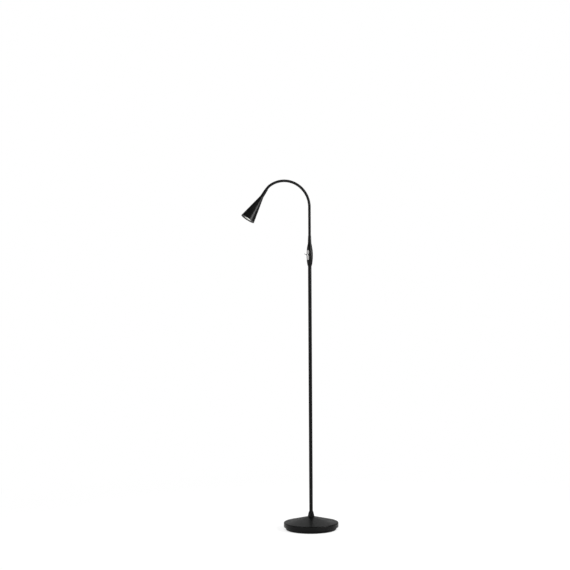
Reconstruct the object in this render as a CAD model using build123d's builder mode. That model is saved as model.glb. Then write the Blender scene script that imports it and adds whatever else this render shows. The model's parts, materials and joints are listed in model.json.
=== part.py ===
# Floor-standing reading lamp: weighted round base, slim pole, spindle-shaped switch housing,
# flexible neck and conical shade with a built-in light.
# Millimetres, +Z up. The origin is on the floor on the pole's axis; the neck arches towards -X.
import os
from math import atan, cos, radians, sin

from build123d import *

os.makedirs("parts", exist_ok=True)

# Clearances
turned_gap = 0.1
loose_gap = 0.3
press_gap = 0.05

# Base
base_radius = 100.0
plinth_inset = 7.5
plinth_height = 10.3
rim_height = 15.4
dome_rise = 21.2
seat_radius = 13.0
rim_round = 3.5
rim_foot_round = 0.6
cover_wall = 1.5
pad_thickness = 1.5
pad_inset = 2.0
plate_floor = 2.5
plate_skirt = 2.5
plate_flange = 2.0
wiring_depth = 17.0
ballast_inset = 4.5
nut_recess_radius = 17.0
nut_recess_depth = 10.0
base_screw_radius = 2.0
base_screw_circle = 60.0
base_screw_count = 3
base_screw_turn = 60.0
base_screw_head_radius = 3.6
base_screw_head = 2.4
base_screw_bite = 10.0
boss_wall = 2.4
screw_sink = 3.2

# Foot of the pole
pole_radius = 6.5
pole_wall = 1.0
pole_length = 931.0
stud_bore_radius = 3.3
stud_engage = 22.0
stud_below_nut = 1.5
base_nut_across = 17.0
base_nut_height = 6.0
base_washer_radius = 12.0
base_washer_height = 1.5
collar_radius = 12.2
collar_shoulder_radius = 9.2
collar_shoulder_height = 14.5
collar_height = 19.5
collar_cap_reach = 0.8
collar_cap_lift = 0.6

# Cord inlet and driver
grommet_bore_radius = 3.0
grommet_neck_radius = 4.2
grommet_flange_radius = 5.5
grommet_flange = 1.5
grommet_lift = 0.3
driver_length = 54.0
driver_width = 28.0
driver_height = 11.0
driver_from_axis = 22.0
driver_round = 2.0
driver_tab = 7.0
driver_tab_thickness = 1.5
driver_screw_radius = 1.5
driver_screw_head_radius = 2.7
driver_screw_head = 1.6
driver_screw_bite = 2.0

# Leads
lead_radius = 1.75
lead_bend = 11.0
lead_step_bend = 9.0

# Switch housing
pole_socket = 14.0
housing_length = 81.0
housing_radius = 11.8
housing_waist = 38.0
housing_foot_radius = 7.9
housing_top_radius = 6.8
housing_edge_round = 0.8
facet_offset = 7.8
switch_turn = 17.0
switch_height = 39.6
plate_width = 13.6
plate_length = 35.4
plate_corner = 2.5
plate_thickness = 1.0
plate_pocket = 0.6
plate_screw_radius = 0.9
plate_screw_head_radius = 1.6
plate_screw_spread = 14.6
plate_screw_bite = 2.6
grub_radius = 1.5
grub_hex_across = 1.5
grub_hex_depth = 1.6
grub_sink = 0.5

# Toggle
toggle_width = 8.0
toggle_tall = 13.0
toggle_depth = 8.0
toggle_round = 0.5
bushing_radius = 3.0
bushing_length = 6.2
bushing_mouth_radius = 2.65
toggle_nut_across = 8.0
toggle_nut_height = 1.8
ball_radius = 2.0
ball_depth = 2.4
lever_length = 14.2
lever_root_radius = 1.2
lever_tip_radius = 1.6
lever_tilt = 15.0
tail_radius = 0.9
tail_length = 4.6
tail_slot = 6.0
tail_slot_width = 3.0
terminal_length = 3.4
terminal_width = 2.0
terminal_thickness = 0.8
terminal_pitch = 4.7

# Neck
socket_length = 29.5
socket_foot_radius = 6.7
socket_lip_radius = 5.45
neck_radius = 4.9
neck_bore_radius = 2.1
neck_insert = 24.0
neck_rise = 104.0
arch_radius = 94.6
arch_turn = 124.5
tip_radius = 54.0
tip_turn = 22.0
neck_joints = 14
joint_ball_radius = 6.0
joint_gap = 0.3
end_stud_radius = 3.5
end_stud_engage = 14.0

# Head
ferrule_length = 33.7
ferrule_lip_radius = 5.6
ferrule_end_radius = 6.6
shade_length = 97.0
shade_mouth_radius = 26.9
shade_wall = 1.2
shade_cap = 10.0
shade_lip_round = 0.5
shade_nut_across = 10.0
shade_nut_height = 4.0
mouth_recess = 1.2
ring_thickness = 1.6
ring_skirt = 3.0
ring_skirt_wall = 1.2
ring_opening_radius = 12.6
lens_flange = 1.6
lens_thickness = 2.4
lens_dome = 0.6
board_radius = 18.0
board_thickness = 1.6
board_screw_radius = 1.25
board_screw_head_radius = 2.3
board_screw_head = 1.5
board_screw_spread = 14.5
board_screw_bite = 6.0
chip_radius = 6.5
chip_thickness = 1.2
reflector_depth = 5.0
reflector_wall = 0.9
sink_length = 30.0
sink_fin_pitch = 6.0
sink_fin_groove = 3.0
sink_core_radius = 9.0

# Levels and fits that follow from the sizes above
plinth_radius = base_radius - plinth_inset
plate_top = pad_thickness + plate_floor
rim_top = plinth_height + rim_height
seat_level = rim_top + dome_rise
dome_slope = dome_rise / (base_radius - seat_radius)
cover_drop = cover_wall / cos(atan(dome_slope))
cover_inner_radius = base_radius - cover_wall
ballast_bottom = plate_top + wiring_depth
ballast_radius = cover_inner_radius - ballast_inset
nut_roof = ballast_bottom + nut_recess_depth
stud_radius = pole_radius - pole_wall - press_gap
stud_foot = nut_roof - base_washer_height - base_nut_height - stud_below_nut
lead_level = plate_top + driver_height / 2
grommet_height = plinth_height + grommet_lift + grommet_flange_radius
grommet_sag = base_radius - (base_radius**2 - grommet_flange_radius**2) ** 0.5
grommet_inner = cover_inner_radius - grommet_sag - press_gap
grommet_outer = base_radius + press_gap
pole_top = seat_level + pole_length
housing_bottom = pole_top - pole_socket
housing_top = housing_bottom + housing_length
switch_level = housing_bottom + switch_height
plate_seat = facet_offset - plate_pocket
plate_face = plate_seat + plate_thickness
toggle_back = plate_seat - toggle_depth
lead_offset = toggle_back - lead_radius - turned_gap
channel_radius = (lead_radius - lead_offset + lead_radius) / 2 + loose_gap
channel_offset = lead_offset / 2
pivot_depth = plate_face + ball_depth - plate_thickness
neck_foot = housing_top + socket_length
stud_bore = lead_radius + turned_gap


def dome_level(radius, drop=0.0):
    """Height of the cover's conical top at a radius, less a drop below its outer face."""
    return rim_top + (base_radius - radius) * dome_slope - drop


def save(piece, name):
    """Label a finished piece and write it to its own file."""
    piece.label = name
    export_step(piece, f"parts/{name}.step")


# Base
with BuildPart() as floor_pad:
    Cylinder(plinth_radius - pad_inset, pad_thickness, align=(Align.CENTER, Align.CENTER, Align.MIN))
    fillet(floor_pad.faces().sort_by(Axis.Z)[0].edges(), pad_thickness / 3)
save(floor_pad.part, "floor_pad")

boss_radius = base_screw_radius + turned_gap + boss_wall
with BuildPart() as base_plate:
    with BuildSketch(Plane.XZ):
        with BuildLine():
            Polyline(
                (0, pad_thickness),
                (plinth_radius, pad_thickness),
                (plinth_radius, plinth_height),
                (cover_inner_radius - loose_gap, plinth_height),
                (cover_inner_radius - loose_gap, plinth_height + plate_flange),
                (plinth_radius - plate_skirt, plinth_height + plate_flange),
                (plinth_radius - plate_skirt, plate_top),
                (0, plate_top),
                close=True,
            )
        make_face()
    revolve(axis=Axis.Z)
    foot_edges = base_plate.faces().sort_by(Axis.Z)[0].edges()
    fillet(foot_edges, plate_floor / 3)
    with BuildSketch(Plane.XY.offset(plate_top)):
        with PolarLocations(base_screw_circle, base_screw_count, start_angle=base_screw_turn):
            Circle(boss_radius)
    extrude(amount=wiring_depth)
    with BuildSketch(Plane.XY.offset(pad_thickness)):
        with PolarLocations(base_screw_circle, base_screw_count, start_angle=base_screw_turn):
            Circle(base_screw_radius + turned_gap)
    extrude(amount=ballast_bottom, mode=Mode.SUBTRACT)
    with BuildSketch(Plane.XY.offset(pad_thickness)):
        with PolarLocations(base_screw_circle, base_screw_count, start_angle=base_screw_turn):
            Circle(base_screw_head_radius + turned_gap)
    extrude(amount=screw_sink, mode=Mode.SUBTRACT)
    with BuildSketch(Plane.XY.offset(plate_top)):
        with Locations((driver_from_axis + driver_length / 2, 0)):
            with GridLocations(driver_length - driver_tab, driver_width + driver_tab, 2, 2):
                Circle(driver_screw_radius)
    extrude(amount=-driver_screw_bite, mode=Mode.SUBTRACT)
    with BuildSketch(Plane.XY.offset(plinth_height - loose_gap)):
        with Locations((grommet_inner - grommet_flange - loose_gap, 0)):
            Rectangle(
                plinth_inset,
                2 * (grommet_flange_radius + loose_gap),
                align=(Align.MIN, Align.CENTER),
            )
    extrude(amount=plate_flange + 2 * loose_gap, mode=Mode.SUBTRACT)
save(base_plate.part, "base_plate")

screw_head_seat = pad_thickness + screw_sink
with BuildPart() as base_screws:
    with BuildSketch(Plane.XY.offset(screw_head_seat)):
        with PolarLocations(base_screw_circle, base_screw_count, start_angle=base_screw_turn):
            Circle(base_screw_head_radius)
    extrude(amount=-base_screw_head)
    with BuildSketch(Plane.XY.offset(screw_head_seat)):
        with PolarLocations(base_screw_circle, base_screw_count, start_angle=base_screw_turn):
            Circle(base_screw_radius)
    extrude(amount=ballast_bottom - screw_head_seat + base_screw_bite - 2 * loose_gap)
    with BuildSketch(Plane.XY.offset(screw_head_seat - base_screw_head)):
        with PolarLocations(base_screw_circle, base_screw_count, start_angle=base_screw_turn):
            RegularPolygon(base_screw_radius, 6)
    extrude(amount=base_screw_head / 2, mode=Mode.SUBTRACT)
save(base_screws.part, "base_screws")

ballast_drop = cover_drop + loose_gap
with BuildPart() as ballast:
    with BuildSketch(Plane.XZ):
        with BuildLine():
            Polyline(
                (stud_radius + turned_gap, nut_roof),
                (nut_recess_radius, nut_roof),
                (nut_recess_radius, ballast_bottom),
                (ballast_radius, ballast_bottom),
                (ballast_radius, dome_level(ballast_radius, ballast_drop)),
                (seat_radius, dome_level(seat_radius, ballast_drop)),
                (seat_radius - loose_gap, seat_level - cover_wall),
                (stud_radius + turned_gap, seat_level - cover_wall),
                close=True,
            )
        make_face()
    revolve(axis=Axis.Z)
    with BuildSketch(Plane.XY.offset(ballast_bottom)):
        with PolarLocations(base_screw_circle, base_screw_count, start_angle=base_screw_turn):
            Circle(base_screw_radius + press_gap)
    extrude(amount=base_screw_bite, mode=Mode.SUBTRACT)
save(ballast.part, "ballast")

with BuildPart() as base_cover:
    with BuildSketch(Plane.XZ):
        with BuildLine():
            FilletPolyline(
                (stud_radius + turned_gap, seat_level),
                (seat_radius, seat_level),
                (base_radius, rim_top),
                (base_radius, plinth_height),
                (cover_inner_radius, plinth_height),
                (cover_inner_radius, dome_level(cover_inner_radius, cover_drop)),
                (seat_radius, seat_level - cover_drop),
                (seat_radius - loose_gap, seat_level - cover_wall),
                (stud_radius + turned_gap, seat_level - cover_wall),
                radius=[0, 0, rim_round, rim_foot_round, 0, rim_round - cover_wall, 0, 0, 0],
                close=True,
            )
        make_face()
    revolve(axis=Axis.Z)
    with BuildSketch(Plane.YZ):
        with Locations((0, grommet_height)):
            Circle(grommet_neck_radius + turned_gap)
    extrude(amount=base_radius + loose_gap, mode=Mode.SUBTRACT)
save(base_cover.part, "base_cover")

with BuildPart() as cord_grommet:
    with BuildSketch(Plane.YZ.offset(grommet_inner - grommet_flange)):
        with Locations((0, grommet_height)):
            Circle(grommet_flange_radius)
    extrude(amount=grommet_flange)
    with BuildSketch(Plane.YZ.offset(grommet_inner)):
        with Locations((0, grommet_height)):
            Circle(grommet_neck_radius)
    extrude(amount=grommet_outer - grommet_inner)
    with BuildSketch(Plane.YZ.offset(grommet_outer)):
        with Locations((0, grommet_height)):
            Circle(grommet_flange_radius)
    extrude(amount=grommet_flange)
    fillet(cord_grommet.faces().sort_by(Axis.X)[-1].edges(), grommet_flange / 2)
    with BuildSketch(Plane.YZ.offset(grommet_inner - grommet_flange)):
        with Locations((0, grommet_height)):
            Circle(grommet_bore_radius)
    extrude(amount=grommet_outer - grommet_inner + 2 * grommet_flange, mode=Mode.SUBTRACT)
save(cord_grommet.part, "cord_grommet")

driver_middle = driver_from_axis + driver_length / 2
with BuildPart() as led_driver:
    with BuildSketch(Plane.XY.offset(plate_top)):
        with Locations((driver_middle, 0)):
            Rectangle(driver_length, driver_width)
    extrude(amount=driver_height)
    fillet(led_driver.edges().filter_by(Axis.Z), driver_round)
    fillet(led_driver.faces().sort_by(Axis.Z)[-1].edges(), driver_round / 2)
    with BuildSketch(Plane.XY.offset(plate_top)):
        with Locations((driver_middle, 0)):
            with GridLocations(driver_length - driver_tab, driver_width + driver_tab, 2, 2):
                RectangleRounded(driver_tab, 2 * driver_tab, driver_tab / 3)
    extrude(amount=driver_tab_thickness)
    with BuildSketch(Plane.XY.offset(plate_top)):
        with Locations((driver_middle, 0)):
            with GridLocations(driver_length - driver_tab, driver_width + driver_tab, 2, 2):
                Circle(driver_screw_radius + turned_gap)
    extrude(amount=driver_tab_thickness, mode=Mode.SUBTRACT)
save(led_driver.part, "led_driver")

with BuildPart() as driver_screws:
    with BuildSketch(Plane.XY.offset(plate_top + driver_tab_thickness)):
        with Locations((driver_middle, 0)):
            with GridLocations(driver_length - driver_tab, driver_width + driver_tab, 2, 2):
                Circle(driver_screw_head_radius)
    extrude(amount=driver_screw_head)
    with BuildSketch(Plane.XY.offset(plate_top + driver_tab_thickness)):
        with Locations((driver_middle, 0)):
            with GridLocations(driver_length - driver_tab, driver_width + driver_tab, 2, 2):
                Circle(driver_screw_radius - press_gap)
    extrude(amount=-driver_tab_thickness - driver_screw_bite)
    with BuildSketch(Plane.XY.offset(plate_top + driver_tab_thickness + driver_screw_head)):
        with Locations((driver_middle, 0)):
            with GridLocations(driver_length - driver_tab, driver_width + driver_tab, 2, 2):
                RegularPolygon(driver_screw_radius, 6)
    extrude(amount=-driver_screw_head / 2, mode=Mode.SUBTRACT)
save(driver_screws.part, "driver_screws")

# Foot of the pole
with BuildPart() as base_stud:
    with BuildSketch(Plane.XY.offset(stud_foot)):
        Circle(stud_radius)
        Circle(stud_bore_radius, mode=Mode.SUBTRACT)
    extrude(amount=seat_level + stud_engage - stud_foot)
    chamfer(base_stud.faces().sort_by(Axis.Z)[0].edges(), (stud_radius - stud_bore_radius) / 4)
save(base_stud.part, "base_stud")

with BuildPart() as base_washer:
    with BuildSketch(Plane.XY.offset(nut_roof)):
        Circle(base_washer_radius)
        Circle(stud_radius + turned_gap, mode=Mode.SUBTRACT)
    extrude(amount=-base_washer_height)
save(base_washer.part, "base_washer")

with BuildPart() as base_nut:
    with BuildSketch(Plane.XY.offset(nut_roof - base_washer_height)):
        RegularPolygon(base_nut_across / 2, 6, major_radius=False)
        Circle(stud_radius + press_gap, mode=Mode.SUBTRACT)
    extrude(amount=-base_nut_height)
save(base_nut.part, "base_nut")

with BuildPart() as pole:
    with BuildSketch(Plane.XY.offset(seat_level)):
        Circle(pole_radius)
        Circle(pole_radius - pole_wall, mode=Mode.SUBTRACT)
    extrude(amount=pole_length)
save(pole.part, "pole")

collar_bore = pole_radius + turned_gap
collar_shoulder = seat_level + collar_shoulder_height
with BuildPart() as foot_collar:
    with BuildSketch(Plane.XZ):
        with BuildLine():
            Line((collar_bore, seat_level), (collar_radius, seat_level))
            Line((collar_radius, seat_level), (collar_shoulder_radius, collar_shoulder))
            ThreePointArc(
                (collar_shoulder_radius, collar_shoulder),
                (
                    collar_bore + (collar_shoulder_radius - collar_bore) * collar_cap_reach,
                    collar_shoulder + (collar_height - collar_shoulder_height) * collar_cap_lift,
                ),
                (collar_bore, seat_level + collar_height),
            )
            Line((collar_bore, seat_level + collar_height), (collar_bore, seat_level))
        make_face()
    revolve(axis=Axis.Z)
save(foot_collar.part, "foot_collar")

# Switch housing, turned from the neck's side towards the front
outward = Vector(-cos(radians(switch_turn)), -sin(radians(switch_turn)), 0)
across = Vector(sin(radians(switch_turn)), -cos(radians(switch_turn)), 0)
switch_plane = Plane(origin=(0, 0, switch_level), x_dir=across, z_dir=outward)
side_plane = Plane(origin=(0, 0, switch_level), x_dir=outward, z_dir=-across)
switch_axis = Axis(switch_plane.origin, outward)


def grub_planes():
    """Planes of the housing's two grub screws, at the back, facing outwards."""
    levels = (housing_bottom + pole_socket / 2, housing_top - end_stud_engage / 2)
    return [Plane(origin=(0, 0, level), x_dir=across, z_dir=-outward) for level in levels]


pole_grub_plane, stud_grub_plane = grub_planes()

with BuildPart() as switch_housing:
    with BuildSketch(Plane.XZ) as housing_profile:
        with BuildLine():
            Line((0, housing_bottom), (housing_foot_radius, housing_bottom))
            ThreePointArc(
                (housing_foot_radius, housing_bottom),
                (housing_radius, housing_bottom + housing_waist),
                (housing_top_radius, housing_top),
            )
            Line((housing_top_radius, housing_top), (0, housing_top))
            Line((0, housing_top), (0, housing_bottom))
        make_face()
        foot_corner = housing_profile.vertices().sort_by(Axis.Y)[:2].sort_by(Axis.X)[-1]
        fillet(foot_corner, housing_edge_round)
    revolve(axis=Axis.Z)
    with BuildSketch(switch_plane.offset(facet_offset)):
        Rectangle(4 * housing_radius, 2 * housing_length)
    extrude(amount=housing_radius, mode=Mode.SUBTRACT)
    with BuildSketch(switch_plane.offset(facet_offset)):
        RectangleRounded(plate_width + 2 * turned_gap, plate_length + 2 * turned_gap, plate_corner)
    extrude(amount=-plate_pocket, mode=Mode.SUBTRACT)
    with BuildSketch(switch_plane.offset(plate_seat)):
        Rectangle(toggle_width + 2 * loose_gap, toggle_tall + 2 * loose_gap)
    extrude(amount=lead_offset - lead_radius - loose_gap - plate_seat, mode=Mode.SUBTRACT)
    with BuildSketch(switch_plane.offset(plate_seat)):
        with Locations((0, plate_screw_spread), (0, -plate_screw_spread)):
            Circle(plate_screw_radius + press_gap)
    extrude(amount=-plate_screw_bite - loose_gap, mode=Mode.SUBTRACT)
    with BuildSketch(Plane.XY.offset(housing_bottom)):
        Circle(pole_radius + turned_gap)
    extrude(amount=pole_socket, mode=Mode.SUBTRACT)
    with BuildSketch(Plane.XY.offset(housing_top)):
        Circle(end_stud_radius + turned_gap)
    extrude(amount=-end_stud_engage, mode=Mode.SUBTRACT)
    with BuildSketch(Plane.XY.offset(pole_top)):
        with Locations(outward * channel_offset):
            Circle(channel_radius)
    extrude(amount=housing_top - end_stud_engage - pole_top, mode=Mode.SUBTRACT)
    with BuildSketch(pole_grub_plane, stud_grub_plane):
        Circle(grub_radius + press_gap)
    extrude(amount=housing_radius, mode=Mode.SUBTRACT)
save(switch_housing.part, "switch_housing")


def housing_edge(level):
    """Radius of the housing's outside at a level, on the arc through its foot, waist and top."""
    foot = Vector(housing_foot_radius, housing_bottom)
    waist = Vector(housing_radius, housing_bottom + housing_waist)
    top = Vector(housing_top_radius, housing_top)
    side = Edge.make_three_point_arc(foot, waist, top)
    middle = side.arc_center
    return middle.X + (side.radius**2 - (level - middle.Y) ** 2) ** 0.5


pole_grub_end = housing_edge(pole_grub_plane.origin.Z) - grub_sink
stud_grub_end = housing_edge(stud_grub_plane.origin.Z) - grub_sink
with BuildPart() as housing_screws:
    with BuildSketch(pole_grub_plane.offset(pole_radius)):
        Circle(grub_radius)
    extrude(amount=pole_grub_end - pole_radius)
    with BuildSketch(stud_grub_plane.offset(end_stud_radius)):
        Circle(grub_radius)
    extrude(amount=stud_grub_end - end_stud_radius)
    with BuildSketch(pole_grub_plane.offset(pole_grub_end), stud_grub_plane.offset(stud_grub_end)):
        RegularPolygon(grub_hex_across / 2, 6, major_radius=False)
    extrude(amount=-grub_hex_depth, mode=Mode.SUBTRACT)
save(housing_screws.part, "housing_screws")

with BuildPart() as switch_plate:
    with BuildSketch(switch_plane.offset(plate_seat)):
        RectangleRounded(plate_width, plate_length, plate_corner)
        Circle(bushing_radius + turned_gap, mode=Mode.SUBTRACT)
        with Locations((0, plate_screw_spread), (0, -plate_screw_spread)):
            Circle(plate_screw_radius + turned_gap, mode=Mode.SUBTRACT)
    extrude(amount=plate_thickness)
save(switch_plate.part, "switch_plate")

with BuildPart() as plate_screws:
    with BuildSketch(switch_plane.offset(plate_face)):
        with Locations((0, plate_screw_spread), (0, -plate_screw_spread)):
            Circle(plate_screw_head_radius)
    extrude(amount=plate_screw_radius)
    fillet(plate_screws.faces().sort_by(switch_axis)[-2:].edges(), plate_screw_radius / 2)
    with BuildSketch(switch_plane.offset(plate_face)):
        with Locations((0, plate_screw_spread), (0, -plate_screw_spread)):
            Circle(plate_screw_radius)
    extrude(amount=-plate_thickness - plate_screw_bite)
    with BuildSketch(switch_plane.offset(plate_face + plate_screw_radius)):
        with Locations((0, plate_screw_spread), (0, -plate_screw_spread)):
            Rectangle(2 * plate_screw_head_radius, plate_screw_radius / 2)
    extrude(amount=-plate_screw_radius / 2, mode=Mode.SUBTRACT)
save(plate_screws.part, "plate_screws")

# Toggle
with BuildPart() as toggle_body:
    with BuildSketch(switch_plane.offset(plate_seat)):
        Rectangle(toggle_width, toggle_tall)
    extrude(amount=-toggle_depth)
    fillet(toggle_body.edges().filter_by(switch_axis), toggle_round)
    with BuildSketch(switch_plane.offset(plate_seat)):
        Rectangle(tail_slot_width, tail_slot)
    extrude(amount=pivot_depth - tail_length - 2 * loose_gap - plate_seat, mode=Mode.SUBTRACT)
save(toggle_body.part, "toggle_body")

bushing_end = plate_seat + bushing_length
with BuildPart() as toggle_bushing:
    with BuildSketch(side_plane):
        with BuildLine():
            Polyline(
                (plate_seat, ball_radius + 2 * turned_gap),
                (plate_seat, bushing_radius),
                (bushing_end, bushing_radius),
                (bushing_end, bushing_mouth_radius),
                (pivot_depth, ball_radius + 2 * turned_gap),
                close=True,
            )
        make_face()
    revolve(axis=switch_axis)
save(toggle_bushing.part, "toggle_bushing")

with BuildPart() as toggle_nut:
    with BuildSketch(switch_plane.offset(plate_face)):
        RegularPolygon(toggle_nut_across / 2, 6, major_radius=False)
        Circle(bushing_radius + press_gap, mode=Mode.SUBTRACT)
    extrude(amount=toggle_nut_height)
save(toggle_nut.part, "toggle_nut")

with BuildPart() as toggle_terminals:
    with BuildSketch(switch_plane.offset(toggle_back)):
        with Locations((0, terminal_pitch), (0, -terminal_pitch)):
            Rectangle(terminal_width, terminal_thickness)
    extrude(amount=-terminal_length)
save(toggle_terminals.part, "toggle_terminals")

toggle_pivot = switch_plane.origin + outward * pivot_depth
lever_line = outward * cos(radians(lever_tilt)) + Vector(0, 0, sin(radians(lever_tilt)))
lever_plane = Plane(origin=toggle_pivot, x_dir=lever_line, z_dir=-across)
lever_axis = Axis(toggle_pivot, lever_line)
lever_tip_start = lever_length - lever_tip_radius
with BuildPart() as toggle_lever:
    with BuildSketch(lever_plane):
        with BuildLine():
            Polyline(
                (-tail_length, 0),
                (-tail_length, tail_radius),
                (0, lever_root_radius),
                (lever_tip_start, lever_tip_radius),
            )
            RadiusArc((lever_tip_start, lever_tip_radius), (lever_length, 0), lever_tip_radius)
            Line((lever_length, 0), (-tail_length, 0))
        make_face()
    revolve(axis=lever_axis)
    with Locations(toggle_pivot):
        Sphere(ball_radius)
save(toggle_lever.part, "toggle_lever")


# Neck: its centreline stands upright, then bends over in one wide and one tighter arc
arch_length = arch_radius * radians(arch_turn)
tip_length = tip_radius * radians(tip_turn)
neck_length = neck_rise + arch_length + tip_length
neck_breaks = (neck_rise, neck_rise + arch_length, neck_length)
joint_spacing = neck_length / neck_joints


def neck_turn(along):
    """Turn of the centreline from upright, in radians, a distance along it from the socket's lip."""
    on_arch = min(max(along - neck_rise, 0.0), arch_length) / arch_radius
    on_tip = min(max(along - neck_rise - arch_length, 0.0), tip_length) / tip_radius
    return on_arch + on_tip


def neck_point(along):
    """Point of the centreline a distance along it from the socket's lip."""
    arch_end = radians(arch_turn)
    on_arch = min(neck_turn(along), arch_end)
    x = -arch_radius * (1 - cos(on_arch))
    z = neck_foot + min(along, neck_rise) + arch_radius * sin(on_arch)
    turned = neck_turn(along)
    x -= tip_radius * (cos(arch_end) - cos(turned)) if turned > arch_end else 0.0
    z += tip_radius * (sin(turned) - sin(arch_end)) if turned > arch_end else 0.0
    beyond = max(along - neck_length, 0.0)
    return Vector(x - beyond * sin(turned), 0, z + beyond * cos(turned))


def neck_plane(along):
    """Plane across the neck at a distance along it, facing along the neck."""
    turned = neck_turn(along)
    return Plane(origin=neck_point(along), x_dir=(0, 1, 0), z_dir=(-sin(turned), 0, cos(turned)))


def neck_route(start, stop):
    """Lines and arcs of the centreline between two distances, drawn in the open line block."""
    inner = [b for b in neck_breaks if start + loose_gap < b < stop - loose_gap]
    ends = [start] + inner + [stop]
    for a, b in zip(ends, ends[1:]):
        middle = (a + b) / 2
        if neck_rise < middle < neck_length:
            ThreePointArc(neck_point(a), neck_point(middle), neck_point(b))
        else:
            Line(neck_point(a), neck_point(b))


def joint_place(number):
    """Distance along the neck of a numbered joint, counted from 1 at the foot."""
    return (number - 0.5) * joint_spacing


for number in range(neck_joints + 1):
    first = number == 0
    last = number == neck_joints
    start = -neck_insert if first else joint_place(number)
    stop = neck_length + neck_insert if last else joint_place(number + 1) + joint_ball_radius + joint_gap
    if not last:
        with BuildPart(neck_plane(joint_place(number + 1))) as link_end:
            Cylinder(2 * neck_radius, 2 * joint_ball_radius, align=(Align.CENTER, Align.CENTER, Align.MIN))
            Sphere(joint_ball_radius, mode=Mode.SUBTRACT)
    with BuildPart() as neck_link:
        with BuildLine():
            neck_route(start, stop)
        with BuildSketch(neck_plane(start)):
            Circle(neck_radius)
            Circle(neck_bore_radius, mode=Mode.SUBTRACT)
            Circle(lead_radius)
        sweep()
        if not first:
            with Locations(neck_plane(start)):
                Sphere(joint_ball_radius + joint_gap, mode=Mode.SUBTRACT)
        if not last:
            add(link_end.part, mode=Mode.SUBTRACT)
    save(neck_link.part, f"neck_link_{number:02d}")

socket_bore = neck_radius + turned_gap
with BuildPart() as neck_socket:
    with BuildSketch(Plane.XZ):
        with BuildLine():
            Polyline(
                (end_stud_radius + turned_gap, housing_top),
                (socket_foot_radius, housing_top),
                (socket_lip_radius, neck_foot),
                (socket_bore, neck_foot),
                (socket_bore, neck_foot - neck_insert),
                (end_stud_radius + turned_gap, neck_foot - neck_insert),
                close=True,
            )
        make_face()
    revolve(axis=Axis.Z)
save(neck_socket.part, "neck_socket")

with BuildPart() as lower_neck_stud:
    with BuildSketch(Plane.XY.offset(neck_foot - neck_insert)):
        Circle(end_stud_radius)
        Circle(stud_bore, mode=Mode.SUBTRACT)
    extrude(amount=housing_top - end_stud_engage - neck_foot + neck_insert)
save(lower_neck_stud.part, "lower_neck_stud")

# Leads from the driver to the switch and from the switch to the neck
lower_terminal = switch_level - terminal_pitch - terminal_thickness / 2
upper_terminal = switch_level + terminal_pitch + terminal_thickness / 2
step_length = (lower_terminal - pole_top) / 4
with BuildPart() as pole_lead:
    with BuildLine():
        FilletPolyline(
            (driver_from_axis, 0, lead_level),
            (0, 0, lead_level),
            (0, 0, pole_top),
            outward * lead_offset + Vector(0, 0, lower_terminal - step_length),
            outward * lead_offset + Vector(0, 0, lower_terminal),
            radius=[lead_bend, lead_step_bend, lead_step_bend],
        )
    with BuildSketch(Plane(origin=(driver_from_axis, 0, lead_level), z_dir=(-1, 0, 0))):
        Circle(lead_radius)
    sweep()
save(pole_lead.part, "pole_lead")

upper_channel = housing_top - end_stud_engage
with BuildPart() as switch_lead:
    with BuildLine():
        FilletPolyline(
            outward * lead_offset + Vector(0, 0, upper_terminal),
            outward * lead_offset + Vector(0, 0, upper_terminal + step_length),
            (0, 0, upper_channel),
            (0, 0, neck_foot - neck_insert),
            radius=[lead_step_bend, lead_step_bend],
        )
    with BuildSketch(Plane(origin=outward * lead_offset + Vector(0, 0, upper_terminal))):
        Circle(lead_radius)
    sweep()
save(switch_lead.part, "switch_lead")

# Head, measured along its axis from the end of the neck's bend
head_turn = neck_turn(neck_length)
head_line = Vector(-sin(head_turn), 0, cos(head_turn))
head_side = Vector(cos(head_turn), 0, sin(head_turn))
head_plane = Plane(origin=neck_point(neck_length), x_dir=head_side, z_dir=(0, -1, 0))
head_axis = Axis(head_plane.origin, head_line)
shade_start = ferrule_length
shade_end = shade_start + shade_length
shade_slope = (shade_mouth_radius - ferrule_end_radius) / shade_length
wall_across = shade_wall / cos(atan(shade_slope))


def shade_inside(along):
    """Inner radius of the shade's cone at a distance along the head."""
    return ferrule_end_radius + (along - shade_start) * shade_slope - wall_across


def head_station(along):
    """Plane across the head at a distance along it, facing out of the mouth."""
    return Plane(origin=head_plane.origin + head_line * along, x_dir=(0, 1, 0), z_dir=head_line)


with BuildPart() as upper_neck_stud:
    with BuildSketch(head_station(neck_insert)):
        Circle(end_stud_radius)
        Circle(stud_bore, mode=Mode.SUBTRACT)
    extrude(amount=shade_start + shade_cap + shade_nut_height + loose_gap - neck_insert)
save(upper_neck_stud.part, "upper_neck_stud")

with BuildPart() as shade_ferrule:
    with BuildSketch(head_plane):
        with BuildLine():
            Polyline(
                (socket_bore, 0),
                (ferrule_lip_radius, 0),
                (ferrule_end_radius, shade_start),
                (end_stud_radius + turned_gap, shade_start),
                (end_stud_radius + turned_gap, neck_insert),
                (socket_bore, neck_insert),
                close=True,
            )
        make_face()
    revolve(axis=head_axis)
save(shade_ferrule.part, "shade_ferrule")

cap_end = shade_start + shade_cap
with BuildPart() as shade:
    with BuildSketch(head_plane):
        with BuildLine():
            Polyline(
                (end_stud_radius + turned_gap, shade_start),
                (ferrule_end_radius, shade_start),
                (shade_mouth_radius, shade_end),
                (shade_inside(shade_end), shade_end),
                (shade_inside(cap_end), cap_end),
                (end_stud_radius + turned_gap, cap_end),
                close=True,
            )
        make_face()
    revolve(axis=head_axis)
    fillet(shade.faces().sort_by(head_axis)[-1].edges(), shade_lip_round)
save(shade.part, "shade")

with BuildPart() as shade_nut:
    with BuildSketch(head_station(cap_end)):
        RegularPolygon(shade_nut_across / 2, 6, major_radius=False)
        Circle(end_stud_radius + press_gap, mode=Mode.SUBTRACT)
    extrude(amount=shade_nut_height)
save(shade_nut.part, "shade_nut")

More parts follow.
